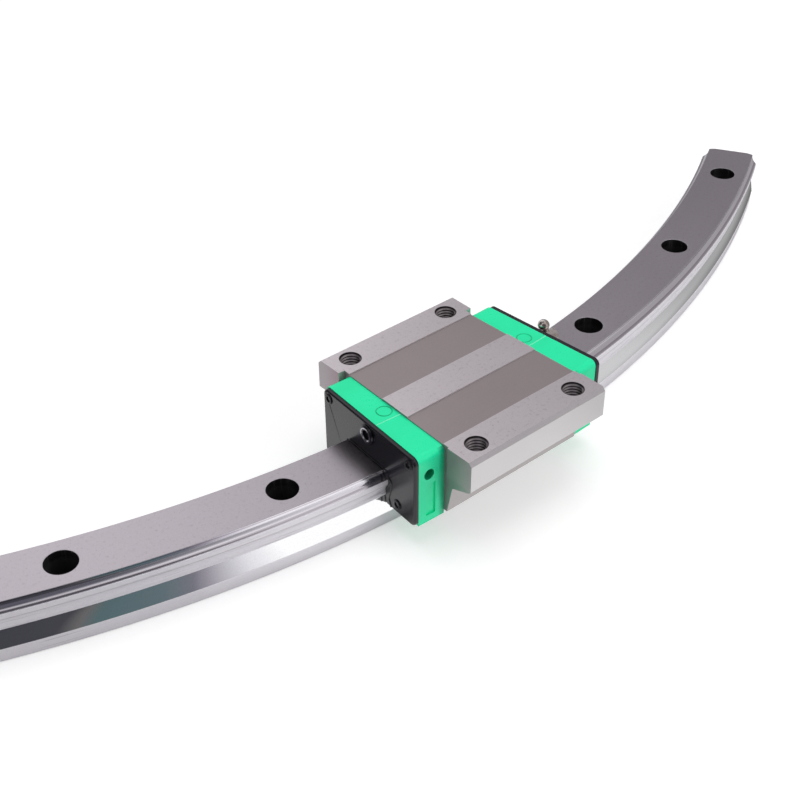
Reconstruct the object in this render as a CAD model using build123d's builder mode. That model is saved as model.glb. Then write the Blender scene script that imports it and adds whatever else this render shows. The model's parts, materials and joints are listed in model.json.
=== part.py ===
from build123d import *
import math
import os

# A curved linear motion guide: an arc-shaped steel rail and the flanged carriage that runs on it.
# The origin is on the rail's underside, on its pitch arc, at the axis of the middle rail hole.
# X is along the rail there, Y points to the arc's centre and Z is up. Lengths in mm, angles in degrees.

# Rail arc
arc_radius = 600.0
rail_arc = 60.0
hole_pitch_angle = 9.0
hole_count = 7

# Rail section, half of it given, from the top down
rail_height = 29.0
rail_top_width = 26.0
rail_nose_width = 32.0
rail_base_width = 32.0
top_groove_start = 28.6
nose_top = 25.1
nose_bottom = 22.6
lower_groove_top = 21.8
lower_groove_top_width = 31.4
lower_groove_bottom = 17.4
lower_groove_bottom_width = 28.8
neck_height = 15.6
neck_width = 28.0
base_shoulder_height = 7.3
base_foot_width = 31.2
foot_height = 0.8
foot_chamfer = 0.6
rail_end_corner = 9.0
rail_end_side_margin = 1.0

# Rail holes
bolt_hole_radius = 4.5
counterbore_radius = 7.0
counterbore_depth = 12.0

# Balls and their grooves
ball_radius = 3.175
groove_conformity = 1.04

# Carriage block
block_length = 80.4
block_width = 100.0
block_top = 48.0
flange_bottom = 33.2
flange_edge_chamfer = 1.7
flange_root_height = 27.8
core_top_width = 76.6
core_width = 70.4
core_bottom = 13.0
core_fillet = 2.0
bore_clearance = 0.5
center_land_width = 17.0
outer_land_inner_y = 32.0
relief_depth = 0.5
seat_offset = 38.2
seat_tilt = 2.0
seat_half_width = 35.5
tap_spacing_x = 58.0
tap_edge_distance = 9.0
tap_radius = 5.0
tap_run_out = 1.0

# End caps
cap_thickness = 12.9
cap_width = 66.4
cap_top = 47.0
cap_bottom = 11.0
cap_corner_radius = 3.0
cap_clearance = 1.0
port_radius = 2.6
port_depth = 4.0
port_height = 36.7
port_offset = 8.4
panel_width = 5.0
panel_offset = 7.4
panel_top = 31.5
panel_bottom = 14.5
panel_depth = 0.8

# End seals
seal_thickness = 2.2
seal_tilt = 4.0
seal_inset = 0.2
seal_clearance = 0.35

# Grease plug in the left end and grease nipple in the right end
grease_port_height = 41.3
grease_thread_radius = 3.0
grease_thread_fit = 0.1
thread_end_gap = 0.4
plug_head_radius = 5.2
plug_head_height = 1.3
plug_socket_flat = 4.0
plug_socket_depth = 1.1
nipple_hex_flat = 7.0
nipple_hex_length = 7.6
nipple_stem_radius = 2.2
nipple_stem_length = 2.0
nipple_neck_radius = 1.5
nipple_head_radius = 2.8
nipple_head_chamfer = 1.2
nipple_head_reach = 9.3
nipple_lean = 30.0

# Derived sizes
arc_axis = Axis((0, arc_radius, 0), (0, 0, 1))
half_arc = rail_arc / 2
seal_face_offset = seat_offset + cap_thickness + seal_thickness
cut_half_angle = 2 * math.degrees(math.atan(seal_face_offset / arc_radius))
tap_depth = block_top - flange_root_height
tap_spacing_y = block_width - 2 * tap_edge_distance
groove_radius = groove_conformity * ball_radius

os.makedirs("parts", exist_ok=True)


def rail_point(angle):
    """Point of the pitch arc, on the rail's underside, at an angle from the middle."""
    turn = math.radians(angle)
    return (arc_radius * math.sin(turn), arc_radius * (1 - math.cos(turn)), 0)


def section_plane(angle):
    """Upright plane across the rail, its x toward the arc's centre and its y up."""
    turn = math.radians(angle)
    return Plane(
        origin=rail_point(angle),
        x_dir=(-math.sin(turn), math.cos(turn), 0),
        z_dir=(math.cos(turn), math.sin(turn), 0),
    )


def groove_center(x1, y1, x2, y2):
    """Centre, on the outer side, of a ball groove's arc between two points of the section."""
    chord = math.hypot(x2 - x1, y2 - y1)
    rise = math.sqrt(groove_radius**2 - (chord / 2) ** 2)
    return (
        (x1 + x2) / 2 + (y1 - y2) / chord * rise,
        (y1 + y2) / 2 + (x2 - x1) / chord * rise,
    )


upper_groove = (rail_top_width / 2, top_groove_start, rail_nose_width / 2, nose_top)
lower_groove = (
    lower_groove_top_width / 2,
    lower_groove_top,
    lower_groove_bottom_width / 2,
    lower_groove_bottom,
)
upper_ball_center = groove_center(*upper_groove)
lower_ball_center = groove_center(*lower_groove)


def rail_section(grooved=True):
    """Outline of the rail, half drawn from the foot up and mirrored; straight across its grooves if not grooved."""

    def groove(start, end):
        return RadiusArc(start, end, groove_radius) if grooved else Line(start, end)

    with BuildSketch(mode=Mode.PRIVATE) as section:
        with BuildLine():
            Polyline(
                (0, 0),
                (base_foot_width / 2 - foot_chamfer, 0),
                (base_foot_width / 2, foot_height),
                (rail_base_width / 2, base_shoulder_height),
                (neck_width / 2, neck_height),
                (lower_groove_bottom_width / 2, lower_groove_bottom),
            )
            groove(
                (lower_groove_bottom_width / 2, lower_groove_bottom),
                (lower_groove_top_width / 2, lower_groove_top),
            )
            Polyline(
                (lower_groove_top_width / 2, lower_groove_top),
                (rail_nose_width / 2, nose_bottom),
                (rail_nose_width / 2, nose_top),
            )
            groove((rail_nose_width / 2, nose_top), (rail_top_width / 2, top_groove_start))
            Polyline(
                (rail_top_width / 2, top_groove_start),
                (rail_top_width / 2, rail_height),
                (0, rail_height),
            )
            Line((0, rail_height), (0, 0))
        make_face()
        mirror(about=Plane.YZ)
    return section.sketch


def channel(clearance, grooved=True):
    """Space that the rail sweeps out inside the carriage, larger all round by the clearance."""
    with BuildPart(mode=Mode.PRIVATE) as space:
        with BuildSketch(section_plane(-cut_half_angle)):
            add(rail_section(grooved))
            offset(amount=clearance, kind=Kind.INTERSECTION)
        revolve(axis=arc_axis, revolution_arc=2 * cut_half_angle)
    return space.part


# Rail: the section turned about the arc's centre, its end corners rounded in plan
with BuildPart() as rail:
    with BuildSketch(section_plane(-half_arc)):
        add(rail_section())
    revolve(axis=arc_axis, revolution_arc=rail_arc)
    side_reach = max(rail_nose_width, rail_base_width) / 2 + rail_end_side_margin
    with BuildSketch():
        with BuildLine():
            outer_side = CenterArc((0, arc_radius), arc_radius + side_reach, -90 - half_arc, rail_arc)
            inner_side = CenterArc((0, arc_radius), arc_radius - side_reach, -90 - half_arc, rail_arc)
            Line(outer_side @ 0, inner_side @ 0)
            Line(outer_side @ 1, inner_side @ 1)
        plan = make_face()
        fillet(plan.vertices(), radius=rail_end_corner)
    extrude(amount=rail_height, mode=Mode.INTERSECT)
    hole_angles = [hole_pitch_angle * (i - (hole_count - 1) / 2) for i in range(hole_count)]
    with Locations([Vector(*rail_point(angle)) + Vector(0, 0, rail_height) for angle in hole_angles]):
        CounterBoreHole(
            radius=bolt_hole_radius,
            counter_bore_radius=counterbore_radius,
            counter_bore_depth=counterbore_depth,
        )
rail.part.label = "rail"
export_step(rail.part, "parts/rail.step")


def end_plane(distance, tilt_angle, side=1):
    """Upright plane across one end of the carriage, facing outward, its y up. The side is 1 or -1."""
    tilt = math.radians(tilt_angle)
    return Plane(
        origin=(side * distance, 0, 0),
        x_dir=(-math.sin(tilt), side * math.cos(tilt), 0),
        z_dir=(side * math.cos(tilt), math.sin(tilt), 0),
    )


# Planes of the right end: the block's seat, the seal's inner face and its outer face
seat_plane = end_plane(seat_offset, seat_tilt)
seal_plane = end_plane(seat_offset + cap_thickness, seal_tilt)
face_plane = seal_plane.offset(seal_thickness)
left_face_plane = end_plane(seat_offset + cap_thickness, seal_tilt, side=-1).offset(seal_thickness)
fitting_depth = seal_thickness + cap_thickness - thread_end_gap

# Carriage block: flanges and core in one profile, seats for the end caps and the rail's channel
with BuildPart() as carriage_block:
    with BuildSketch(Plane.YZ):
        with BuildLine():
            Polyline(
                (0, core_bottom),
                (core_width / 2, core_bottom),
                (core_top_width / 2, flange_root_height),
                (block_width / 2 - flange_edge_chamfer, flange_bottom - flange_edge_chamfer),
                (block_width / 2, flange_bottom),
                (block_width / 2, block_top - flange_edge_chamfer),
                (block_width / 2 - flange_edge_chamfer, block_top),
                (outer_land_inner_y, block_top),
                (outer_land_inner_y, block_top - relief_depth),
                (center_land_width / 2, block_top - relief_depth),
                (center_land_width / 2, block_top),
                (0, block_top),
                close=True,
            )
        half_profile = make_face()
        fillet(
            half_profile.vertices().sort_by_distance((core_top_width / 2, flange_root_height))[0],
            radius=core_fillet,
        )
        mirror(about=Plane.YZ)
    extrude(amount=block_length / 2, both=True)
    # End seats: full width below the flanges, a pocket between them above
    with BuildSketch(seat_plane):
        with Locations((0, (core_bottom + flange_bottom) / 2)):
            Rectangle(block_width, flange_bottom - core_bottom)
        with Locations((0, block_top)):
            Rectangle(2 * seat_half_width, 2 * (block_top - core_bottom))
    right_seat = extrude(amount=block_length, mode=Mode.PRIVATE)
    add(right_seat, mode=Mode.SUBTRACT)
    add(right_seat.mirror(Plane.YZ), mode=Mode.SUBTRACT)
    # Channel for the rail, with four ball grooves facing those of the rail
    add(channel(bore_clearance, grooved=False), mode=Mode.SUBTRACT)
    with BuildSketch(section_plane(-cut_half_angle)):
        for x, y in (upper_ball_center, lower_ball_center):
            with Locations((x, y), (-x, y)):
                Circle(groove_radius)
    revolve(axis=arc_axis, revolution_arc=2 * cut_half_angle, mode=Mode.SUBTRACT)
    # Tapped holes through the flanges, at the thread's outer radius
    with Locations(Plane.XY.offset(block_top)):
        with GridLocations(tap_spacing_x, tap_spacing_y, 2, 2):
            Hole(radius=tap_radius, depth=tap_depth + tap_run_out)
carriage_block.part.label = "carriage_block"
export_step(carriage_block.part, "parts/carriage_block.step")

# End cap at the right end, between the block and its seal
cap_height = cap_top - cap_bottom
with BuildPart() as end_cap_right:
    with BuildSketch(seat_plane):
        with Locations((0, (cap_top + cap_bottom) / 2)):
            outline = Rectangle(cap_width, cap_height)
        fillet(outline.vertices().group_by(Axis.Y)[-1], radius=cap_corner_radius)
    extrude(amount=2 * cap_thickness)
    # Wedge shape: the outer face follows the seal, square to the rail
    with BuildSketch(seal_plane):
        Rectangle(2 * block_width, 2 * block_width)
    extrude(amount=2 * cap_thickness, mode=Mode.SUBTRACT)
    add(channel(cap_clearance, grooved=False), mode=Mode.SUBTRACT)
    # Grease port and recessed panel in each side
    for side in (1, -1):
        side_plane = Plane(
            origin=seat_plane.from_local_coords((side * cap_width / 2, 0, 0)),
            x_dir=seat_plane.z_dir * -side,
            z_dir=seat_plane.x_dir * side,
        )
        with BuildSketch(side_plane):
            with Locations((-side * port_offset, port_height)):
                Circle(port_radius)
        extrude(amount=-port_depth, mode=Mode.SUBTRACT)
        with BuildSketch(side_plane):
            with Locations((-side * panel_offset, (panel_top + panel_bottom) / 2)):
                Rectangle(panel_width, panel_top - panel_bottom)
        extrude(amount=-panel_depth, mode=Mode.SUBTRACT)
    # Passage for the grease plug's or nipple's thread
    with BuildSketch(seal_plane):
        with Locations((0, grease_port_height)):
            Circle(grease_thread_radius + grease_thread_fit)
    extrude(amount=-2 * cap_thickness, mode=Mode.SUBTRACT)
end_cap_right.part.label = "end_cap_right"
export_step(end_cap_right.part, "parts/end_cap_right.step")

with BuildPart() as end_cap_left:
    add(end_cap_right.part.mirror(Plane.YZ))
end_cap_left.part.label = "end_cap_left"
export_step(end_cap_left.part, "parts/end_cap_left.step")

# End seal at the right end, its opening closer to the rail than the cap's
with BuildPart() as end_seal_right:
    with BuildSketch(seal_plane):
        with Locations((0, (cap_top + cap_bottom) / 2)):
            seal_outline = Rectangle(cap_width - 2 * seal_inset, cap_height - 2 * seal_inset)
        fillet(seal_outline.vertices(), radius=cap_corner_radius)
    extrude(amount=seal_thickness)
    add(channel(seal_clearance), mode=Mode.SUBTRACT)
    with BuildSketch(seal_plane):
        with Locations((0, grease_port_height)):
            Circle(grease_thread_radius + grease_thread_fit)
    extrude(amount=seal_thickness, mode=Mode.SUBTRACT)
end_seal_right.part.label = "end_seal_right"
export_step(end_seal_right.part, "parts/end_seal_right.step")

with BuildPart() as end_seal_left:
    add(end_seal_right.part.mirror(Plane.YZ))
end_seal_left.part.label = "end_seal_left"
export_step(end_seal_left.part, "parts/end_seal_left.step")

# Grease plug in the left end: a low round head with a hexagon socket, on a threaded shank
with BuildPart() as grease_plug:
    with BuildSketch(left_face_plane):
        with Locations((0, grease_port_height)):
            Circle(plug_head_radius)
    extrude(amount=plug_head_height)
    with BuildSketch(left_face_plane):
        with Locations((0, grease_port_height)):
            Circle(grease_thread_radius)
    extrude(amount=-fitting_depth)
    with BuildSketch(left_face_plane.offset(plug_head_height)):
        with Locations((0, grease_port_height)):
            RegularPolygon(radius=plug_socket_flat / 2, side_count=6, major_radius=False)
    extrude(amount=-plug_socket_depth, mode=Mode.SUBTRACT)
grease_plug.part.label = "grease_plug"
export_step(grease_plug.part, "parts/grease_plug.step")

# Grease nipple in the right end: a hexagon body on a threaded shank, with a leaning stem and head
nipple_angle = math.radians(nipple_lean)
nipple_origin = face_plane.from_local_coords((0, grease_port_height, nipple_hex_length / 2))
stem_direction = face_plane.x_dir * math.sin(nipple_angle) + Vector(0, 0, math.cos(nipple_angle))
stem_profile_plane = Plane(
    origin=nipple_origin,
    x_dir=face_plane.z_dir,
    z_dir=face_plane.z_dir.cross(stem_direction),
)
head_base = nipple_head_reach - 2 * nipple_head_radius
with BuildPart() as grease_nipple:
    with BuildSketch(face_plane):
        with Locations((0, grease_port_height)):
            RegularPolygon(radius=nipple_hex_flat / 2, side_count=6, major_radius=False)
    extrude(amount=nipple_hex_length)
    with BuildSketch(face_plane):
        with Locations((0, grease_port_height)):
            Circle(grease_thread_radius)
    extrude(amount=-fitting_depth)
    with BuildSketch(stem_profile_plane):
        with BuildLine():
            Polyline(
                (0, 0),
                (nipple_stem_radius, 0),
                (nipple_stem_radius, nipple_stem_length),
                (nipple_neck_radius, nipple_stem_length),
                (nipple_neck_radius, head_base),
                (nipple_head_radius, head_base),
                (nipple_head_radius, nipple_head_reach - nipple_head_chamfer),
                (nipple_head_radius - nipple_head_chamfer, nipple_head_reach),
                (0, nipple_head_reach),
                close=True,
            )
        make_face()
    revolve(axis=Axis(nipple_origin, stem_direction))
grease_nipple.part.label = "grease_nipple"
export_step(grease_nipple.part, "parts/grease_nipple.step")
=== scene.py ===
import json
import math

import bmesh
import bpy
from mathutils import Matrix, Vector


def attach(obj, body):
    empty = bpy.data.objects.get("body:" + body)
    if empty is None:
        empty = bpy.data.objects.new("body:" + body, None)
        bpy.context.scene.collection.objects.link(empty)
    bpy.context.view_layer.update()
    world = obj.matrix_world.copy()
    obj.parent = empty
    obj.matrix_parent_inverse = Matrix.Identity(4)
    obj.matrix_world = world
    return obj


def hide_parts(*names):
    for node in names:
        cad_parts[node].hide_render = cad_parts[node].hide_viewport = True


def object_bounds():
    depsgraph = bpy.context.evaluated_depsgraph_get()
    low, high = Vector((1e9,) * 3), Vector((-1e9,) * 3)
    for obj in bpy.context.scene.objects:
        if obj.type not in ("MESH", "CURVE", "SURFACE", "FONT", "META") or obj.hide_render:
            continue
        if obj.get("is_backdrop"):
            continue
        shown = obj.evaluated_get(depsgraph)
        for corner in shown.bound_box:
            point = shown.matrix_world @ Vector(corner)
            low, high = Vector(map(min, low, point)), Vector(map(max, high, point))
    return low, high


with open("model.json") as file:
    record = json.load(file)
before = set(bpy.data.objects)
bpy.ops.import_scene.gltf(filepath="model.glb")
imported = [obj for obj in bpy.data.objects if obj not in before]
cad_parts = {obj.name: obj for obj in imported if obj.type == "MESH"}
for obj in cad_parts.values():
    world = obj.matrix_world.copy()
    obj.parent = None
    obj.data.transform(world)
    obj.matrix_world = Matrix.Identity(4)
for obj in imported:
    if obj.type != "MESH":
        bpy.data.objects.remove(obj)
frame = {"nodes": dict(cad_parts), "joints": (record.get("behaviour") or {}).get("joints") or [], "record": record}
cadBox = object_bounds()
nodes = frame["nodes"]
print("frame loaded")

mm = 0.001
arcCenterY = frame["joints"][0]["pos_m"][1]  # the rail's pitch arc is centred on the carriage's hinge

# sizes that more than one piece or finish takes up; lateral is out from the rail's pitch arc
railSizes = {
    "height": 29.0 * mm,
    "topWidth": 26.0 * mm,
    "noseWidth": 32.0 * mm,
    "baseWidth": 32.0 * mm,
    "topGrooveStart": 28.6 * mm,
    "noseTop": 25.1 * mm,
    "noseBottom": 22.6 * mm,
    "lowerGrooveTop": (15.7 * mm, 21.8 * mm),
    "lowerGrooveBottom": (14.4 * mm, 17.4 * mm),
    "neck": (14.0 * mm, 15.6 * mm),
    "shoulder": 7.3 * mm,
    "foot": (15.6 * mm, 0.8 * mm),
    "footChamfer": 0.6 * mm,
    "grooveRadius": 3.302 * mm,
    "edgeEase": 0.22 * mm,
    "arc": math.radians(60.0),
    "holePitch": math.radians(9.0),
    "holeCount": 7,
    "bore": 4.5 * mm,
    "counterbore": 7.0 * mm,
    "counterboreDepth": 12.0 * mm,
    "holeRim": 0.2 * mm,
}

carriage = {
    "seatOffset": 38.2 * mm,
    "capThickness": 12.9 * mm,
    "sealThickness": 2.2 * mm,
    "capWidth": 66.4 * mm,
    "capTop": 47.0 * mm,
    "capBottom": 11.0 * mm,
    "greaseHeight": 41.3 * mm,
    "blockTop": 48.0 * mm,
    "sealTilt": math.radians(4.0),
    "tapSpacing": (58.0 * mm, 82.0 * mm),
    "tapRadius": 5.0 * mm,
}


def endFrame(side, depth, lateral=0.0, height=0.0):
    # on one seal's outer face: z outward, y up, x across; lateral is toward the arc's centre
    tilt = carriage["sealTilt"]
    across = Vector((-math.sin(tilt), side * math.cos(tilt), 0))
    outward = Vector((side * math.cos(tilt), math.sin(tilt), 0))
    origin = Vector((side * (carriage["seatOffset"] + carriage["capThickness"]), 0, height))
    origin += outward * (carriage["sealThickness"] + depth) + across * lateral * side
    turn = Matrix((across, Vector((0, 0, 1)), outward)).transposed().to_4x4()
    return Matrix.Translation(origin) @ turn


# node helpers
class Signal:
    # wraps one output socket, so that shader and geometry maths reads as Python
    def __init__(self, graph, socket):
        self.graph = graph
        self.socket = socket

    def __add__(self, other):
        return self.graph.math("ADD", self, other)

    def __radd__(self, other):
        return self.graph.math("ADD", other, self)

    def __sub__(self, other):
        return self.graph.math("SUBTRACT", self, other)

    def __rsub__(self, other):
        return self.graph.math("SUBTRACT", other, self)

    def __mul__(self, other):
        return self.graph.math("MULTIPLY", self, other)

    def __rmul__(self, other):
        return self.graph.math("MULTIPLY", other, self)

    def __truediv__(self, other):
        return self.graph.math("DIVIDE", self, other)

    def __pow__(self, other):
        return self.graph.math("POWER", self, other)

    def __abs__(self):
        return self.graph.math("ABSOLUTE", self)

    def __round__(self):
        return self.graph.math("ROUND", self)

    def smooth(self, low, high):
        # 0 up to low, 1 from high on, and a soft change between
        sockets = {"Value": self, "From Min": low, "From Max": high}
        return self.graph.add("ShaderNodeMapRange", {"interpolation_type": "SMOOTHSTEP"}, sockets)


class Graph:
    # one node tree, of a material, the world or a mesh
    def __init__(self, tree):
        self.tree = tree

    def add(self, kind, settings=None, inputs=None, output=0):
        node = self.tree.nodes.new(kind)
        for name, value in (settings or {}).items():
            if name == "stops":
                ramp = node.color_ramp
                while len(ramp.elements) < len(value):
                    ramp.elements.new(1.0)
                for element, (position, color) in zip(ramp.elements, value):
                    element.position = position
                    element.color = (*color, 1.0)
            else:
                setattr(node, name, value)
        for name, value in (inputs or {}).items():
            self.feed(node.inputs[name], value)
        return Signal(self, node.outputs[output])

    def feed(self, socket, value):
        if isinstance(value, Signal):
            self.tree.links.new(value.socket, socket)
        else:
            socket.default_value = value

    def math(self, operation, *values):
        return self.add("ShaderNodeMath", {"operation": operation}, dict(enumerate(values)))

    def vector(self, x, y, z):
        return self.add("ShaderNodeCombineXYZ", None, {0: x, 1: y, 2: z})

    def separate(self, vector):
        first = self.add("ShaderNodeSeparateXYZ", None, {0: vector})
        return [Signal(self, socket) for socket in first.socket.node.outputs]

    def mix(self, factor, first, second):
        # colours are mixed by the Mix node's sockets 6 and 7, and come out of its third
        first, second = (value if isinstance(value, Signal) else (*value, 1.0) for value in (first, second))
        return self.add("ShaderNodeMix", {"data_type": "RGBA"}, {0: factor, 6: first, 7: second}, 2)

    def showByRay(self, outputKind, onObjects, toCamera, mirrored):
        # the camera, metal and every other ray each see a surface or a sky of their own
        kinds = ("Is Camera Ray", "Is Transmission Ray", "Is Glossy Ray")
        camera, clear, glossy = (self.add("ShaderNodeLightPath", output=kind) for kind in kinds)
        shown = self.add("ShaderNodeMixShader", None, {0: camera + clear, 1: onObjects, 2: toCamera})
        shown = self.add("ShaderNodeMixShader", None, {0: glossy, 1: shown, 2: mirrored})
        self.feed(self.tree.nodes.new(outputKind).inputs["Surface"], shown)


def srgb(red, green, blue):
    # a colour written as it looks on screen, 0 to 255
    def linear(value):
        value = value / 255
        return value / 12.92 if value <= 0.04045 else ((value + 0.055) / 1.055) ** 2.4

    return (linear(red), linear(green), linear(blue))


class Finish(Graph):
    # one material: a Principled shader and the coordinates that its patterns use
    def __init__(self, name, settings):
        self.material = bpy.data.materials.new(name)
        self.material.use_nodes = True
        super().__init__(self.material.node_tree)
        self.shader = self.tree.nodes["Principled BSDF"]
        for key, value in settings.items():
            self.shader.inputs[key].default_value = value
        self.point = self.add("ShaderNodeTexCoord", output="Object")

    def noise(self, scale, detail, vector=None, roughness=0.5):
        sockets = {"Vector": vector or self.point, "Scale": scale, "Detail": detail, "Roughness": roughness}
        return self.add("ShaderNodeTexNoise", None, sockets)

    def shaded(self, color, shares, *patterns):
        # the colour at a level, with a share of each pattern added to the level
        level = shares[0]
        for share, pattern in zip(shares[1:], patterns):
            level = level + share * pattern
        return self.add("ShaderNodeVectorMath", {"operation": "SCALE"}, {0: color, "Scale": level})

    def bump(self, height, strength, distance):
        sockets = {"Height": height, "Strength": strength, "Distance": distance}
        return self.add("ShaderNodeBump", None, sockets)

    def finish(self, **sockets):
        for name, value in sockets.items():
            self.feed(self.shader.inputs[name.replace("_", " ")], value)
        return self.material


# materials
def railSteelMaterial():
    # ground top and sides, a polished flank and groove with dark stripes painted in as reflection, holes painted
    # near black as their shade, and plain sawn ends
    steel = {
        "top": srgb(200, 193, 200),
        "groundSide": srgb(234, 230, 237),
        "polished": srgb(250, 250, 252),
        "pits": srgb(132, 122, 130),
        "hole": srgb(9, 8, 9),
        "topRoughness": 0.33,
        "sideRoughness": 0.46,
        "polishedRoughness": 0.06,
        "grooveRoughness": 0.15,
        "holeRoughness": 0.35,
        "sideMetallic": 0.16,
        "holeMetallic": 0.1,
        "topFrom": (28.9 * mm, 28.97 * mm),
        "bandEdge": 0.1 * mm,
        "holeEdge": 0.15 * mm,
        "sawnEdge": (0.02 * mm, 0.2 * mm),
        "tracks": (  # painted reflection: thin dark stripes along the grooves for the darker bands they mirror; from, to and share
            (22.2 * mm, 22.6 * mm, 0.45),
            (25.2 * mm, 25.7 * mm, 0.5),
            (28.0 * mm, 28.6 * mm, 0.4),
        ),
        "grainScale": 2600.0,
        "cloudScale": 18.0,
        "speckleScale": 620.0,
        "streakScale": (30.0, 2500.0),  # along the rail and across it
        "scratchScale": (22.0, 1500.0),
        "speckleShare": 0.45,
        "scratchShare": 0.35,
        "shade": (0.78, 0.28, 0.08, 0.06),  # a level and the shares of grain, cloud and streaks
        "unevenness": (0.1, 0.06),  # of the roughness, by grain and cloud
    }
    s = railSizes
    m = Finish("railSteel", {"IOR": 1.8})
    x, y, z = m.separate(m.point)
    across = arcCenterY - y
    turn = m.math("ARCTAN2", x, across)
    along = turn * arcCenterY
    lateral = (x * x + across * across) ** 0.5 - arcCenterY
    fromEnd = (s["arc"] / 2 - abs(turn)) * arcCenterY
    alongside = fromEnd.smooth(*steel["sawnEdge"])  # 0 on the sawn ends

    def band(low, high):
        edge = steel["bandEdge"]
        return z.smooth(low - edge, low + edge) * (1 - z.smooth(high - edge, high + edge)) * alongside

    polished = band(s["shoulder"], s["neck"][1])
    groove = band(s["noseTop"], steel["topFrom"][0])
    top = z.smooth(*steel["topFrom"]) * alongside
    pitch = turn / s["holePitch"]
    fromHole = (pitch - round(pitch)) * (s["holePitch"] * arcCenterY)
    holeDistance = (fromHole * fromHole + lateral * lateral) ** 0.5
    inHole = 1 - holeDistance.smooth(s["counterbore"], s["counterbore"] + steel["holeEdge"])
    grain = m.noise(steel["grainScale"], 3.0, roughness=0.7)
    cloud = m.noise(steel["cloudScale"], 3.0)
    lengthwise, crosswise = steel["streakScale"]
    streaks = m.vector(along * lengthwise, lateral * crosswise, z * crosswise)
    streaks = m.noise(1.0, 4.0, streaks, 0.65)
    lengthwise, crosswise = steel["scratchScale"]
    scratch = m.noise(1.0, 2.0, m.vector(along * lengthwise, z * crosswise, 0.0), 0.6).smooth(0.6, 0.72)
    speckle = m.noise(steel["speckleScale"], 4.0, roughness=0.75).smooth(0.52, 0.78)
    color = m.mix(top, steel["groundSide"], steel["top"])
    color = m.mix(polished, color, steel["polished"])
    color = m.mix(speckle * top * steel["speckleShare"], color, steel["pits"])
    # painted reflection: dark stripes along the grooves
    for low, high, share in steel["tracks"]:
        color = m.mix(band(low, high) * share, color, steel["pits"])
    color = m.mix(scratch * (1 - top) * (1 - polished) * steel["scratchShare"], color, steel["pits"])
    color = m.shaded(color, steel["shade"], grain, cloud, streaks)
    # painted shade: the holes are coloured near black
    color = m.mix(inHole, color, steel["hole"])
    mirror = polished + groove
    plainSide = (1 - top) * (1 - mirror)
    roughness = steel["topRoughness"] * top + steel["sideRoughness"] * plainSide
    roughness = roughness + steel["polishedRoughness"] * polished + steel["grooveRoughness"] * groove
    grainShare, cloudShare = steel["unevenness"]
    uneven = grainShare * (grain - 0.5) + cloudShare * (cloud - 0.5)
    roughness = roughness + uneven * (1 - mirror) + steel["holeRoughness"] * inHole
    metallic = (1 - (1 - steel["sideMetallic"]) * plainSide) * (1 - (1 - steel["holeMetallic"]) * inHole)
    height = (grain * 0.5 + streaks * (1 - top) * 0.5) * (1 - mirror)
    normal = m.bump(height, 0.12, 0.05 * mm)
    return m.finish(Base_Color=color, Metallic=metallic, Roughness=roughness, Normal=normal)


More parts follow.
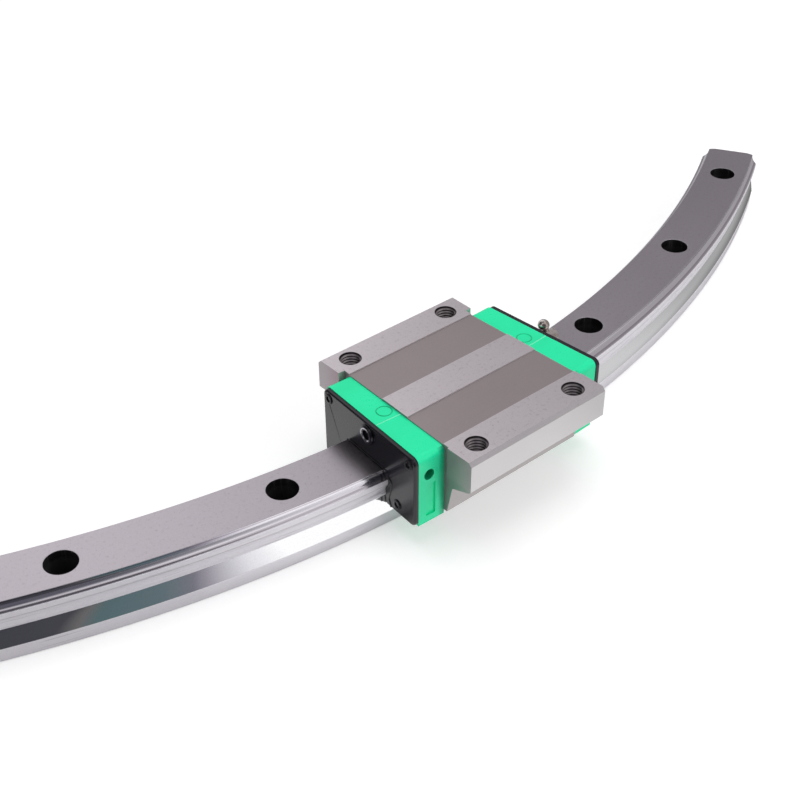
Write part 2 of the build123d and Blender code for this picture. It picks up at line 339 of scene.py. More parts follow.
def blockSteelMaterial():
    # ground lands, duller relief bands, plain sides; painted shade on the ends, beside the caps, under the flange
    # and in the taps, where the thread crests are less dark
    steel = {
        "land": srgb(240, 232, 236),
        "chamfer": srgb(182, 177, 180),
        "relief": srgb(188, 177, 178),
        "pits": srgb(150, 142, 144),
        "side": srgb(211, 208, 209),
        "end": srgb(172, 163, 167),
        "under": srgb(168, 161, 161),
        "corner": srgb(166, 138, 150),
        "tap": srgb(74, 69, 72),
        "crest": srgb(176, 168, 170),
        "landRoughness": 0.33,
        "reliefRoughness": 0.46,
        "sideRoughness": 0.1,
        "sideMetallic": 0.55,
        "landFrom": (47.73 * mm, 47.77 * mm),
        "tapEdge": (0.05 * mm, 0.3 * mm),
        "crestReach": (4.5 * mm, 4.9 * mm),
        "cornerReach": (34.0 * mm, 49.0 * mm),
        "flangeFoot": (31.0 * mm, 33.0 * mm),
        # the share of a face's normal, up or endways, where each finish begins and is full
        "facingUp": (0.8, 0.95),
        "chamfered": (0.45, 0.6),
        "pitted": (0.4, 0.6),
        "endways": (0.85, 0.95),
        "grainScale": 2200.0,
        "cloudScale": 22.0,
        "lineScale": (60.0, 2600.0),  # along the block and across it
        "speckleScale": 620.0,
        "speckleShare": 0.4,
        "shade": (0.79, 0.22, 0.12, 0.06),  # a level and the shares of grain, cloud and lines
        "unevenness": (0.1, 0.08),  # of the roughness, by grain and lines
    }
    m = Finish("blockSteel", {"IOR": 2.6})
    x, y, z = m.separate(m.point)
    normalX, _, normalZ = m.separate(m.add("ShaderNodeNewGeometry", output="Normal"))
    faceUp = normalZ.smooth(*steel["facingUp"])
    onRelief = faceUp * (1 - z.smooth(*steel["landFrom"]))
    dx, dy = (abs(way) - spacing / 2 for way, spacing in zip((x, y), carriage["tapSpacing"]))
    tapDistance = (dx * dx + dy * dy) ** 0.5
    tapEdge = [carriage["tapRadius"] + reach for reach in steel["tapEdge"]]
    inTap = (1 - tapDistance.smooth(*tapEdge)) * z.smooth(*steel["flangeFoot"])
    grain = m.noise(steel["grainScale"], 3.0, roughness=0.7)
    cloud = m.noise(steel["cloudScale"], 3.0)
    lengthwise, crosswise = steel["lineScale"]
    lines = m.noise(1.0, 4.0, m.vector(x * lengthwise, y * crosswise, z * crosswise), 0.7)
    speckle = m.noise(steel["speckleScale"], 4.0, roughness=0.75).smooth(0.52, 0.78)
    color = m.mix(faceUp, steel["side"], steel["land"])
    color = m.mix(normalZ.smooth(*steel["chamfered"]) * (1 - faceUp), color, steel["chamfer"])
    pitted = normalZ.smooth(*steel["pitted"]) * steel["speckleShare"]
    color = m.mix(speckle * pitted, color, steel["pits"])
    # painted shade: the end faces are coloured darker
    onEnd = abs(normalX).smooth(*steel["endways"])
    color = m.mix(onEnd, color, steel["end"])
    # painted shade beside each cap, tinted against the green light that the cap casts there
    paintedCapShade = 1 - abs(y).smooth(*steel["cornerReach"])
    color = m.mix(onEnd * paintedCapShade, color, steel["corner"])
    # painted shade: the core's sides under the flange are coloured darker
    low = 1 - z.smooth(*steel["flangeFoot"])
    color = m.mix(low * (1 - onEnd), color, steel["under"])
    color = m.mix(onRelief, color, steel["relief"])
    color = m.shaded(color, steel["shade"], grain, cloud, lines)
    # painted shade in the taps: dark at the thread roots, less dark on the crests
    crest = 1 - tapDistance.smooth(*steel["crestReach"])
    color = m.mix(inTap, color, m.mix(crest, steel["tap"], steel["crest"]))
    grainShare, lineShare = steel["unevenness"]
    roughness = steel["landRoughness"] + grainShare * (grain - 0.5) + lineShare * (lines - 0.5)
    roughness = roughness * (1 - onRelief) + onRelief * steel["reliefRoughness"]
    roughness = roughness + steel["sideRoughness"] * (1 - faceUp)
    metallic = 1 - (1 - steel["sideMetallic"]) * (1 - faceUp) * (1 - inTap)
    normal = m.bump(grain * 0.5 + lines * 0.5, 0.12, 0.05 * mm)
    return m.finish(Base_Color=color, Metallic=metallic, Roughness=roughness, Normal=normal)


def capPlasticMaterial():
    # bright green; deeper green painted as shade beside the block and in the port, and on the ring mark; a painted
    # highlight on the seam
    plastic = {
        "color": srgb(28, 238, 172),
        "shade": srgb(22, 220, 154),
        "deep": srgb(8, 92, 62),
        "seam": srgb(150, 246, 212),
        "roughness": 0.3,
        "unevenness": (0.12, 0.08),
        "top": 46.6 * mm,
        "topEdge": 0.2 * mm,
        "ring": (42.4 * mm, 2.0 * mm, 3.45 * mm),  # x, y and radius
        "ringEdge": (0.12 * mm, 0.4 * mm),
        "ringShare": 0.5,
        "seamAt": (3.3 * mm, 51.1 * mm, 0.07),  # how far off the middle, at which x, and its slope
        "seamEdge": (0.12 * mm, 0.35 * mm),
        "seamShare": 0.8,
        "port": (46.6 * mm, 36.7 * mm, 2.6 * mm, math.tan(math.radians(2.0))),  # x, z, radius and lean
        "portEdge": (-0.1 * mm, 0.15 * mm),
        "portFrom": (25.0 * mm, 26.0 * mm),
        "portShare": 0.9,
        "blockEdge": (38.6 * mm, 42.0 * mm),
        "blockShare": 0.55,
        "cloudShare": 0.4,
        "grainScale": 1500.0,
        "cloudScale": 60.0,
    }
    m = Finish("capPlastic", {"IOR": 1.5, "Specular IOR Level": 0.4})
    x, y, z = m.separate(m.point)
    reach = abs(x)
    onTop = z.smooth(plastic["top"], plastic["top"] + plastic["topEdge"])
    ringX, ringY, ringRadius = plastic["ring"]
    dx, dy = reach - ringX, y - ringY
    fromRing = abs((dx * dx + dy * dy) ** 0.5 - ringRadius)
    onRing = (1 - fromRing.smooth(*plastic["ringEdge"])) * onTop
    seamOffset, seamStart, seamSlope = plastic["seamAt"]
    fromSeam = abs(y + seamOffset + (seamStart - reach) * seamSlope)
    seamHighlightMask = (1 - fromSeam.smooth(*plastic["seamEdge"])) * onTop
    portX, portZ, portRadius, portSlope = plastic["port"]
    leant = reach + y * portSlope
    dx, dz = leant - portX, z - portZ
    portEdge = [portRadius + step for step in plastic["portEdge"]]
    paintedPortShade = (1 - ((dx * dx + dz * dz) ** 0.5).smooth(*portEdge)) * abs(y).smooth(*plastic["portFrom"])
    paintedBlockShade = (1 - leant.smooth(*plastic["blockEdge"])) * (1 - onTop)
    cloud = m.noise(plastic["cloudScale"], 3.0)
    grain = m.noise(plastic["grainScale"], 2.0)
    color = m.mix(cloud.smooth(0.35, 0.7) * plastic["cloudShare"], plastic["color"], plastic["shade"])
    # painted shade beside the block and in the port, with the ring mark in the same deeper green
    dark = paintedBlockShade * plastic["blockShare"] + onRing * plastic["ringShare"]
    color = m.mix(dark + paintedPortShade * plastic["portShare"], color, plastic["deep"])
    # painted highlight along the mould seam
    color = m.mix(seamHighlightMask * plastic["seamShare"], color, plastic["seam"])
    grainShare, cloudShare = plastic["unevenness"]
    roughness = plastic["roughness"] + grainShare * (grain - 0.5) + cloudShare * (cloud - 0.5)
    return m.finish(Base_Color=color, Roughness=roughness, Normal=m.bump(grain, 0.06, 0.04 * mm))


def sealRubberMaterial():
    rubber = {
        "color": srgb(24, 23, 29),
        "worn": srgb(33, 32, 40),
        "wornShare": 0.6,
        "roughness": 0.24,
        "unevenness": (0.12, 0.1),
        "grainScale": 1800.0,
        "cloudScale": 70.0,
    }
    m = Finish("sealRubber", {"IOR": 1.5, "Specular IOR Level": 0.5})
    cloud = m.noise(rubber["cloudScale"], 4.0)
    grain = m.noise(rubber["grainScale"], 2.0)
    color = m.mix(cloud.smooth(0.4, 0.75) * rubber["wornShare"], rubber["color"], rubber["worn"])
    grainShare, cloudShare = rubber["unevenness"]
    roughness = rubber["roughness"] + grainShare * (grain - 0.5) + cloudShare * (cloud - 0.5)
    return m.finish(Base_Color=color, Roughness=roughness, Normal=m.bump(grain, 0.05, 0.04 * mm))


def screwSteelMaterial():
    screw = {"dark": srgb(40, 39, 42), "light": srgb(72, 70, 73), "roughness": 0.26, "cloudScale": 300.0}
    m = Finish("screwSteel", {"Metallic": 0.9, "IOR": 2.0})
    cloud = m.noise(screw["cloudScale"], 3.0)
    color = m.mix(cloud.smooth(0.4, 0.7), screw["dark"], screw["light"])
    roughness = screw["roughness"] + 0.1 * cloud
    return m.finish(Base_Color=color, Roughness=roughness, Normal=m.bump(cloud, 0.05, 0.05 * mm))


def plugSteelMaterial():
    # dark steel with a bright rim painted round the socket as a highlight
    plug = {
        "color": srgb(60, 59, 63),
        "rim": srgb(205, 203, 208),
        "rimFrom": (2.3 * mm, 2.5 * mm),
        "rimTo": (3.3 * mm, 3.6 * mm),
        "roughness": 0.16,
        "cloudScale": 500.0,
    }
    middle = endFrame(-1, 0.0, 0.0, carriage["greaseHeight"]).to_translation()
    m = Finish("plugSteel", {"Metallic": 1.0})
    _, y, z = m.separate(m.point)
    dy, dz = y - middle.y, z - middle.z
    reach = (dy * dy + dz * dz) ** 0.5
    # painted highlight: a bright ring round the socket
    onRim = reach.smooth(*plug["rimFrom"]) * (1 - reach.smooth(*plug["rimTo"]))
    cloud = m.noise(plug["cloudScale"], 3.0)
    color = m.mix(onRim * (0.5 + 0.5 * cloud), plug["color"], plug["rim"])
    roughness = plug["roughness"] + 0.1 * cloud
    return m.finish(Base_Color=color, Roughness=roughness, Normal=m.bump(cloud, 0.05, 0.05 * mm))


def nippleMetalMaterial():
    nipple = {
        "light": srgb(226, 220, 216),
        "dark": srgb(190, 176, 168),
        "roughness": 0.16,
        "cloudScale": 400.0,
    }
    m = Finish("nippleMetal", {"Metallic": 1.0, "IOR": 2.4})
    cloud = m.noise(nipple["cloudScale"], 3.0)
    color = m.mix(cloud.smooth(0.35, 0.7), nipple["light"], nipple["dark"])
    roughness = nipple["roughness"] + 0.12 * cloud
    return m.finish(Base_Color=color, Roughness=roughness, Normal=m.bump(cloud, 0.05, 0.05 * mm))


materials = {
    "rail_steel": railSteelMaterial(),
    "block_steel": blockSteelMaterial(),
    "cap_plastic": capPlasticMaterial(),
    "seal_rubber": sealRubberMaterial(),
    "screw_steel": screwSteelMaterial(),
    "plug_steel": plugSteelMaterial(),
    "nipple_metal": nippleMetalMaterial(),
}
slots = {entry["node"]: entry["material_slot"] for entry in frame["record"]["subparts"]}
for name, node in nodes.items():
    node.data.materials.clear()
    node.data.materials.append(materials[slots[name]])
print("materials made")


# geometry helpers
def addObject(name, data):
    obj = bpy.data.objects.new(name, data)
    bpy.context.scene.collection.objects.link(obj)
    return obj


def meshFrom(bm, name):
    mesh = bpy.data.meshes.new(name)
    bm.to_mesh(mesh)
    bm.free()
    return mesh


def evaluatedMesh(obj, name):
    # the object's shape with its modifiers run
    graph = bpy.context.evaluated_depsgraph_get()
    mesh = bpy.data.meshes.new_from_object(obj.evaluated_get(graph))
    mesh.name = name
    return mesh


def pathsMesh(name, *paths):
    # edges through the points of each path, which is (points, closed)
    points = []
    edges = []
    for spots, closed in paths:
        first = len(points)
        points += [Vector(spot) for spot in spots]
        edges += [(i, i + 1) for i in range(first, len(points) - 1)]
        if closed:
            edges.append((len(points) - 1, first))
    mesh = bpy.data.meshes.new(name)
    mesh.from_pydata(points, edges, [])
    return mesh


class Tree(Graph):
    # a geometry node tree with named inputs
    kinds = {
        bpy.types.Object: "NodeSocketObject",
        bpy.types.Material: "NodeSocketMaterial",
        float: "NodeSocketFloat",
        int: "NodeSocketInt",
    }

    def __init__(self, name, sizes):
        tree = bpy.data.node_groups.new(name, "GeometryNodeTree")
        super().__init__(tree)
        self.sizes = dict(sizes)
        tree.interface.new_socket("Geometry", in_out="INPUT", socket_type="NodeSocketGeometry")
        tree.interface.new_socket("Geometry", in_out="OUTPUT", socket_type="NodeSocketGeometry")
        for label, value in self.sizes.items():
            kind = next(socket for form, socket in self.kinds.items() if isinstance(value, form))
            tree.interface.new_socket(label, in_out="INPUT", socket_type=kind)
        self.source = tree.nodes.new("NodeGroupInput")
        self.result = tree.nodes.new("NodeGroupOutput")

    def given(self, label):
        return Signal(self, self.source.outputs[label])

    def shape(self, label):
        return self.add("GeometryNodeObjectInfo", None, {"Object": self.given(label)}, "Geometry")

    def curves(self):
        return self.add("GeometryNodeMeshToCurve", None, {"Mesh": self.given("Geometry")})

    def swept(self, curve, outline):
        sockets = {"Curve": curve, "Profile Curve": outline, "Fill Caps": True}
        return self.add("GeometryNodeCurveToMesh", None, sockets)

    def tube(self, curve, radius, sides):
        sockets = {"Resolution": sides, "Radius": radius}
        return self.swept(curve, self.add("GeometryNodeCurvePrimitiveCircle", None, sockets))

    def onPoints(self, points, instance, **sockets):
        sockets = {"Points": points, "Instance": instance, **sockets}
        return self.add("GeometryNodeInstanceOnPoints", None, sockets)

    def cut(self, operation, body, tool):
        node = self.tree.nodes.new("GeometryNodeMeshBoolean")
        node.operation = operation
        node.solver = "EXACT"
        if operation == "DIFFERENCE":
            self.feed(node.inputs["Mesh 1"], body)
            self.feed(node.inputs["Mesh 2"], tool)
        else:
            self.feed(node.inputs["Mesh 2"], tool)
            self.feed(node.inputs["Mesh 2"], body)
        return Signal(self, node.outputs["Mesh"])

    def moved(self, geometry, z):
        sockets = {"Geometry": geometry, "Translation": self.vector(0.0, 0.0, z)}
        return self.add("GeometryNodeTransform", None, sockets)

    def realized(self, geometry):
        return self.add("GeometryNodeRealizeInstances", None, {"Geometry": geometry})

    def bake(self, name, mesh, geometry):
        # ends the tree, runs it on the mesh and returns a plain object
        sockets = {"Geometry": self.realized(geometry), "Material": self.given("Material")}
        painted = self.add("GeometryNodeSetMaterial", None, sockets)
        self.feed(self.result.inputs["Geometry"], painted)
        carrier = addObject(name + "Carrier", mesh)
        modifier = carrier.modifiers.new("tree", "NODES")
        modifier.node_group = self.tree
        for item in self.tree.interface.items_tree:
            if item.in_out == "INPUT" and item.name in self.sizes:
                modifier[item.identifier] = self.sizes[item.name]
        plain = evaluatedMesh(carrier, name)
        bpy.data.objects.remove(carrier)
        for value in self.sizes.values():
            if isinstance(value, bpy.types.Object):
                bpy.data.objects.remove(value)
        return addObject(name, plain)


def shadeByAngle(obj, degrees=30.0):
    for polygon in obj.data.polygons:
        polygon.use_smooth = True
    obj.data.set_sharp_from_angle(angle=math.radians(degrees))
    return obj


def keepFlats(obj):
    # wide faces keep their own normal, so that only the eased edges are shaded round
    weigh = obj.modifiers.new("weigh", "WEIGHTED_NORMAL")
    weigh.keep_sharp = True
    plain = evaluatedMesh(obj, obj.name)
    obj.modifiers.clear()
    obj.data = plain
    return obj


def turnedMesh(name, rings, segments=36):
    # rings of (radius, height) from the underside's centre round to the top's;
    # a third value "hex" makes a hexagon
    bm = bmesh.new()
    loops = []
    for radius, height, *shape in rings:
        if radius == 0:
            loops.append([bm.verts.new((0, 0, height))])
            continue
        loop = []
        for i in range(segments):
            angle = 2 * math.pi * i / segments
            reach = radius
            if shape:
                sector = (angle + math.pi / 6) % (math.pi / 3) - math.pi / 6
                reach = radius / math.cos(sector)
            loop.append(bm.verts.new((reach * math.cos(angle), reach * math.sin(angle), height)))
        loops.append(loop)
    for lower, upper in zip(loops, loops[1:]):
        for i in range(segments):
            j = (i + 1) % segments
            corners = [loop[k % len(loop)] for loop, k in ((lower, i), (lower, j), (upper, j), (upper, i))]
            bm.faces.new(list(dict.fromkeys(corners)))
    bmesh.ops.recalc_face_normals(bm, faces=bm.faces)
    return meshFrom(bm, name)


def roundedRim(radius, height, ease, angles):
    # rings that round off the upper rim of a turned piece
    return [(radius - ease * (1 - math.cos(a)), height - ease * (1 - math.sin(a))) for a in angles]


def dressedCopy(nodeName, name, bevel, sharpAngle=35.0, segments=2, share=None):
    # a CAD node's shape with its doubles merged, its flat faces whole again and its edges eased;
    # share gives the part of the bevel that an edge gets, by its middle
    bm = bmesh.new()
    bm.from_mesh(nodes[nodeName].data)
    bmesh.ops.remove_doubles(bm, verts=bm.verts, dist=0.002 * mm)
    bmesh.ops.dissolve_limit(bm, angle_limit=math.radians(0.5), verts=bm.verts, edges=bm.edges)
    weight = bm.edges.layers.float.new("bevel_weight_edge")
    for edge in bm.edges:
        if len(edge.link_faces) == 2 and edge.calc_face_angle() > math.radians(sharpAngle):
            middle = (edge.verts[0].co + edge.verts[1].co) / 2
            edge[weight] = share(middle) if share else 1.0
    carrier = addObject(name + "Carrier", meshFrom(bm, name))
    ease = carrier.modifiers.new("ease", "BEVEL")
    ease.width = bevel
    ease.segments = segments
    ease.limit_method = "WEIGHT"
    ease.use_clamp_overlap = True
    plain = evaluatedMesh(carrier, name)
    bpy.data.objects.remove(carrier)
    plain.materials.clear()
    plain.materials.append(materials[slots[nodeName]])
    return keepFlats(shadeByAngle(addObject(name, plain), 50.0))


def place(obj, body, *replaced):
    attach(obj, body)
    if replaced:
        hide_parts(*replaced)


# rail
def grooveArc(start, end, radius, steps=10):
    # points of a hollow arc between two points of the section's outer side
    (x1, y1), (x2, y2) = start, end
    chord = math.hypot(x2 - x1, y2 - y1)
    rise = math.sqrt(radius**2 - (chord / 2) ** 2)
    centerX = (x1 + x2) / 2 + (y1 - y2) / chord * rise
    centerY = (y1 + y2) / 2 + (x2 - x1) / chord * rise
    a1 = math.atan2(y1 - centerY, x1 - centerX) % (2 * math.pi)
    a2 = math.atan2(y2 - centerY, x2 - centerX) % (2 * math.pi)
    angles = [a1 + (a2 - a1) * i / steps for i in range(steps + 1)]
    return [(centerX + radius * math.cos(a), centerY + radius * math.sin(a)) for a in angles]


def easedOutline(points, ease, leastTurn=math.radians(20)):
    # a closed outline with each sharp corner cut by three short steps
    outline = []
    count = len(points)
    for i, corner in enumerate(points):
        here = Vector(corner)
        back = Vector(points[i - 1]) - here
        ahead = Vector(points[(i + 1) % count]) - here
        if math.pi - back.angle(ahead) < leastTurn:
            outline.append(tuple(here))
            continue
        reach = min(ease, back.length / 3, ahead.length / 3)
        start = here + back.normalized() * reach
        end = here + ahead.normalized() * reach
        for t in (0.0, 1 / 3, 2 / 3, 1.0):
            outline.append(tuple((1 - t) ** 2 * start + 2 * t * (1 - t) * here + t**2 * end))
    return outline


def railOutline():
    s = railSizes
    half = [(s["foot"][0] - s["footChamfer"], 0.0), s["foot"], (s["baseWidth"] / 2, s["shoulder"]), s["neck"]]
    half += grooveArc(s["lowerGrooveTop"], s["lowerGrooveBottom"], s["grooveRadius"])[::-1]
    half += [(s["noseWidth"] / 2, s["noseBottom"])]
    upper = ((s["topWidth"] / 2, s["topGrooveStart"]), (s["noseWidth"] / 2, s["noseTop"]))
    half += grooveArc(*upper, s["grooveRadius"])[::-1]
    half += [(s["topWidth"] / 2, s["height"])]
    whole = half + [(-x, z) for x, z in reversed(half)]
    return easedOutline(whole, s["edgeEase"])


def planSolid():
    # the rail's outline seen from above, with its corners rounded, as a tall solid
    plan = {
        "corner": 9.0 * mm,
        "margin": 1.0 * mm,
        "bottom": -5.0 * mm,
        "height": 50.0 * mm,
        "sideSteps": 90,
        "cornerSteps": 12,
    }
    s = railSizes
    half = s["arc"] / 2
    corner = plan["corner"]
    reach = max(s["noseWidth"], s["baseWidth"]) / 2 + plan["margin"]
    inset = corner / arcCenterY

    def spot(angle, lateral, ahead=0.0):
        radius = arcCenterY + lateral
        return (
            radius * math.sin(angle) + ahead * math.cos(angle),
            arcCenterY - radius * math.cos(angle) + ahead * math.sin(angle),
        )

    def sideArc(side):
        steps = plan["sideSteps"]
        sweep = 2 * half - 2 * inset
        return [spot(side * (inset - half + sweep * i / steps), side * reach) for i in range(1, steps)]

    def cornerArc(side, end):
        points = []
        for i in range(plan["cornerSteps"] + 1):
            angle = math.pi / 2 * i / plan["cornerSteps"]
            lateral = side * (reach - corner + corner * math.cos(angle))
            points.append(spot(end * half, lateral, end * (corner * math.sin(angle) - corner)))
        return points

    ring = sideArc(1) + cornerArc(1, 1) + cornerArc(-1, 1)[::-1]
    ring += sideArc(-1) + cornerArc(-1, -1) + cornerArc(1, -1)[::-1]
    bm = bmesh.new()
    face = bm.faces.new([bm.verts.new((x, y, plan["bottom"])) for x, y in ring])
    grown = bmesh.ops.extrude_face_region(bm, geom=[face])["geom"]
    upper = [item for item in grown if isinstance(item, bmesh.types.BMVert)]
    bmesh.ops.translate(bm, vec=(0, 0, plan["height"]), verts=upper)
    bmesh.ops.recalc_face_normals(bm, faces=bm.faces)
    return addObject("planSolid", meshFrom(bm, "planSolid"))


def makeRail():
    # the section swept along the arc, cut to its plan and drilled
    s = railSizes
    middle = -math.pi / 2  # the arc's angle at its middle
    gaps = s["holeCount"] - 1
    drillSides = 72
    clear = 1.0 * mm  # a drill runs this far past a face that it opens, or twice this far
    t = Tree(
        "railTree",
        {
            "Arc Radius": arcCenterY,
            "Arc Start": middle - s["arc"] / 2,
            "Arc Sweep": s["arc"],
            "Arc Steps": 181,
            "Hole Start": middle - gaps / 2 * s["holePitch"],
            "Hole Sweep": gaps * s["holePitch"],
            "Hole Count": s["holeCount"],
            "Bore Radius": s["bore"],
            "Counterbore Radius": s["counterbore"],
            "Counterbore Depth": s["counterboreDepth"],
            "Rim": s["holeRim"],
            "Height": s["height"],
            "Plan": planSolid(),
            "Material": materials["rail_steel"],
        },
    )
    center = t.vector(0.0, arcCenterY, 0.0)

    def arcCurve(steps, start, sweep):
        sockets = {"Resolution": steps, "Start Angle": start, "Sweep Angle": sweep}
        sockets["Radius"] = t.given("Arc Radius")
        arc = t.add("GeometryNodeCurveArc", {"mode": "RADIUS"}, sockets)
        arc = t.add("GeometryNodeTransform", None, {"Geometry": arc, "Translation": center})
        return t.add("GeometryNodeSetCurveNormal", {"mode": "Z_UP"}, {"Curve": arc})

    def drilled(radius, low, high, topRadius=None):
        # a drill on each hole's place; with a top radius it is a cone
        if topRadius is None:
            sizes = {"Vertices": drillSides, "Radius": radius, "Depth": high - low}
            tool = t.moved(t.add("GeometryNodeMeshCylinder", None, sizes, "Mesh"), (high + low) / 2)
        else:
            sizes = {"Vertices": drillSides, "Radius Bottom": radius, "Radius Top": topRadius}
            sizes["Depth"] = high - low
            tool = t.moved(t.add("GeometryNodeMeshCone", None, sizes, "Mesh"), low)
        holes = arcCurve(t.given("Hole Count"), t.given("Hole Start"), t.given("Hole Sweep"))
        spots = t.add("GeometryNodeCurveToPoints", {"mode": "EVALUATED"}, {"Curve": holes}, "Points")
        return t.realized(t.onPoints(spots, tool))

    path = arcCurve(t.given("Arc Steps"), t.given("Arc Start"), t.given("Arc Sweep"))
    bar = t.cut("INTERSECT", t.swept(path, t.curves()), t.shape("Plan"))
    height = t.given("Height")
    wide = t.given("Counterbore Radius")
    rim = t.given("Rim")
    seat = height - t.given("Counterbore Depth")
    bar = t.cut("DIFFERENCE", bar, drilled(t.given("Bore Radius"), -clear, seat + 2 * clear))
    bar = t.cut("DIFFERENCE", bar, drilled(wide, seat, height + clear))
    bar = t.cut("DIFFERENCE", bar, drilled(wide - rim, height - 2 * rim, height + rim, wide + 2 * rim))
    outline = pathsMesh("railOutline", ([(x, -z, 0) for x, z in railOutline()], True))
    guide = t.bake("guideRail", outline, bar)
    place(keepFlats(shadeByAngle(guide, 50.0)), "rail", "rail")


makeRail()
print("rail swept and drilled")


# carriage
def makeBlock():
    block = {"edge": 0.3 * mm}
    place(dressedCopy("carriage_block", "carriageBlock", block["edge"]), "carriage", "carriage_block")


def makeEndCaps():
    cap = {"edge": 0.45 * mm, "sharpAngle": 40.0, "segments": 3}
    for side in ("left", "right"):
        node = "end_cap_" + side
        obj = dressedCopy(node, side + "EndCap", cap["edge"], cap["sharpAngle"], cap["segments"])
        place(obj, "carriage", node)


def makeEndSeals():
    seal = {
        "rim": 1.25 * mm,
        "sharpAngle": 50.0,
        "segments": 4,
        "otherShare": 0.3,
        "rimAt": (30.0 * mm, 12.5 * mm, 44.5 * mm),  # half width, bottom and top of what lies inside the rim
    }
    for name, side in (("left", -1), ("right", 1)):
        flat = endFrame(side, 0.0).inverted()

        def share(middle):
            # the outer edge of the free face is well rounded, every other edge only broken
            spot = flat @ middle
            halfWidth, low, high = seal["rimAt"]
            onRim = abs(spot.x) > halfWidth or spot.y < low or spot.y > high
            return 1.0 if onRim and spot.z > -carriage["sealThickness"] / 2 else seal["otherShare"]

        node = "end_seal_" + name
        obj = dressedCopy(node, name + "EndSeal", seal["rim"], seal["sharpAngle"], seal["segments"], share)
        place(obj, "carriage", node)


def makeCapMarks():
    # a raised ring and a mould seam on the top of each cap
    mark = {
        "radius": 3.45 * mm,
        "inset": 8.7 * mm,
        "offset": 2.6 * mm,
        "lift": 0.02 * mm,
        "wire": 0.2 * mm,
        "wireSides": 10,
        "ringSteps": 48,
        "seamOffset": -3.3 * mm,
        "seamStart": 0.5 * mm,
        "seamLength": 11.8 * mm,
    }
    t = Tree("capMarkTree", {"Ring Wire": mark["wire"], "Material": materials["cap_plastic"]})
    wires = t.tube(t.curves(), t.given("Ring Wire"), mark["wireSides"])
    angles = [2 * math.pi * i / mark["ringSteps"] for i in range(mark["ringSteps"])]
    paths = []
    for side in (-1, 1):
        seat = -carriage["sealThickness"]
        middle = endFrame(side, seat - mark["inset"], mark["offset"], carriage["capTop"] + mark["lift"])
        circle = [(mark["radius"] * math.cos(a), 0, mark["radius"] * math.sin(a)) for a in angles]
        paths.append(([middle @ Vector(spot) for spot in circle], True))
        reaches = (mark["seamStart"], mark["seamStart"] + mark["seamLength"])
        ends = [endFrame(side, seat - reach, mark["seamOffset"], carriage["capTop"]) for reach in reaches]
        paths.append(([end.to_translation() for end in ends], False))
    marks = t.bake("capMoldMarks", pathsMesh("capMarkPaths", *paths), wires)
    place(shadeByAngle(marks), "carriage")


def makeSealLips():
    # a rubber bead round the rail on each seal's outer face, a little away from the rail's section
    lip = {
        "offset": 0.75 * mm,
        "wire": 0.4 * mm,
        "wireSides": 12,
        "ease": 0.9 * mm,
        "easeSteps": 5,
        "footRise": 0.8 * mm,
        "noseDrop": 1.0 * mm,
        "noseFoot": 0.2 * mm,
        "noseRise": 0.4 * mm,
        "grooveOut": 0.3 * mm,
        "grooveDrop": 0.6 * mm,
    }
    s = railSizes
    out = lip["offset"]
    nose = s["noseWidth"] / 2 + out
    top = s["topWidth"] / 2 + out
    half = [
        (s["foot"][0] + out, carriage["capBottom"] + lip["footRise"]),
        (s["neck"][0] + out, s["neck"][1]),
        (s["lowerGrooveTop"][0] + out, s["noseBottom"] - lip["noseDrop"]),
        (nose, s["noseBottom"] + lip["noseFoot"]),
        (nose, s["noseTop"] + lip["noseRise"]),
        (top + lip["grooveOut"], s["topGrooveStart"] - lip["grooveDrop"]),
        (top, s["height"] + out),
    ]
    whole = half + [(-x, z) for x, z in reversed(half)]
    t = Tree("sealLipTree", {"Wire": lip["wire"], "Ease": lip["ease"], "Material": materials["seal_rubber"]})
    sockets = {"Curve": t.curves(), "Count": lip["easeSteps"], "Radius": t.given("Ease")}
    eased = t.add("GeometryNodeFilletCurve", {"mode": "POLY"}, sockets)
    beads = t.tube(eased, t.given("Wire"), lip["wireSides"])
    paths = []
    for side in (-1, 1):
        spots = [endFrame(side, 0.0, lateral, height).to_translation() for lateral, height in whole]
        paths.append((spots, False))
    place(shadeByAngle(t.bake("sealLips", pathsMesh("sealLipPaths", *paths), beads)), "carriage")


def aimedPoints(name, frames):
    # one point for each frame, with the direction that its instance faces
    mesh = bpy.data.meshes.new(name)
    mesh.from_pydata([turn.to_translation() for turn in frames], [], [])
    aims = mesh.attributes.new("aim", "FLOAT_VECTOR", "POINT")
    for item, turn in zip(aims.data, frames):
        item.vector = turn.to_3x3() @ Vector((0, 0, 1))
    return mesh


